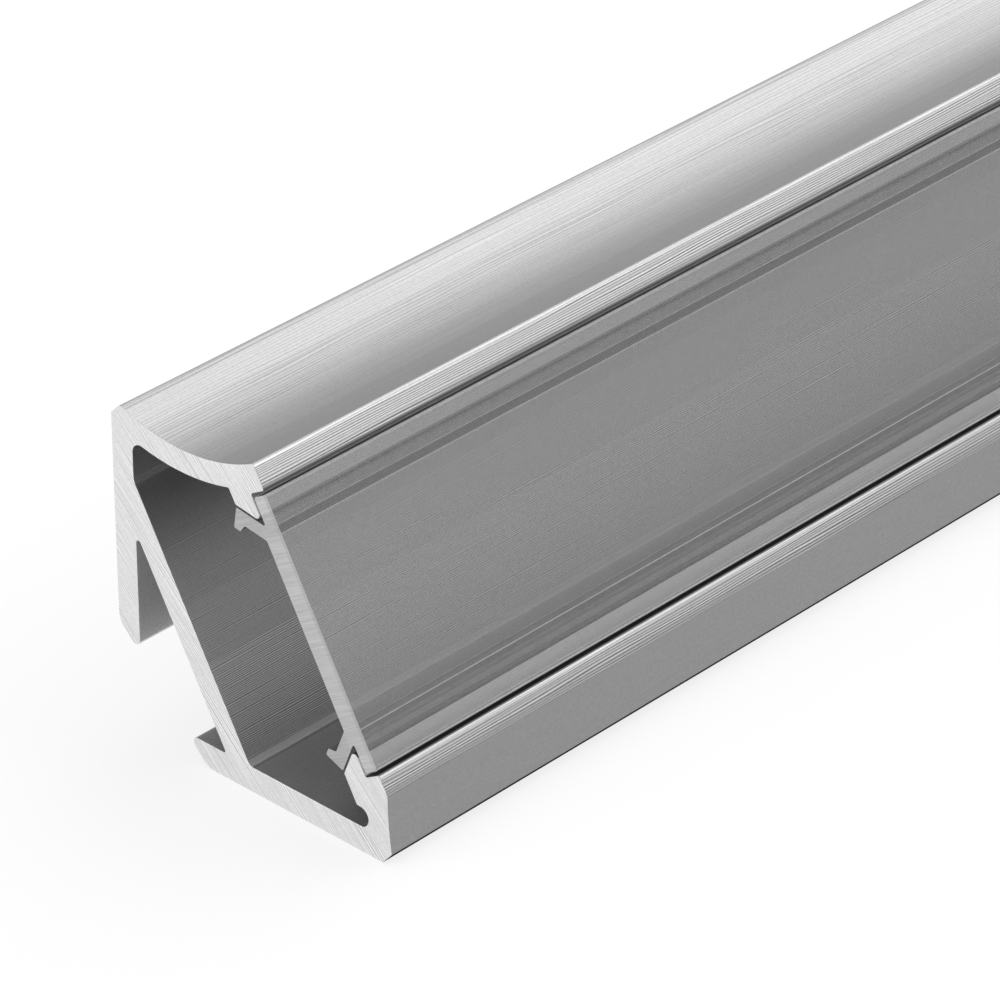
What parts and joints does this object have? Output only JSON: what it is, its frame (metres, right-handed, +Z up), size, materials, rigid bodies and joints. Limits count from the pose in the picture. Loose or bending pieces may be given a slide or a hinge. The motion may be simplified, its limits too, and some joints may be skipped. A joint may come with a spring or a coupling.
{
  "type": "led strip profile",
  "caption": "Aluminium corner extrusion with a slanted front, a channel for an LED strip, two open clip lips behind it, and a clear snap-in cover along the front.",
  "frame": {"origin": "middle of the stock's length and width, on the level plane that its base rests on", "axes": "+Z up, +Y along the stock, +X from the flat back towards the slanted front"},
  "size_m": [0.0182, 0.5, 0.0185],
  "materials": {
    "anodised_aluminium": "satin anodised, brushed along its length",
    "clear_plastic": "clear, faintly grey"
  },
  "bodies": {
    "root": {"profile_body": "anodised_aluminium", "clear_cover": "clear_plastic"}
  },
  "joints": []
}
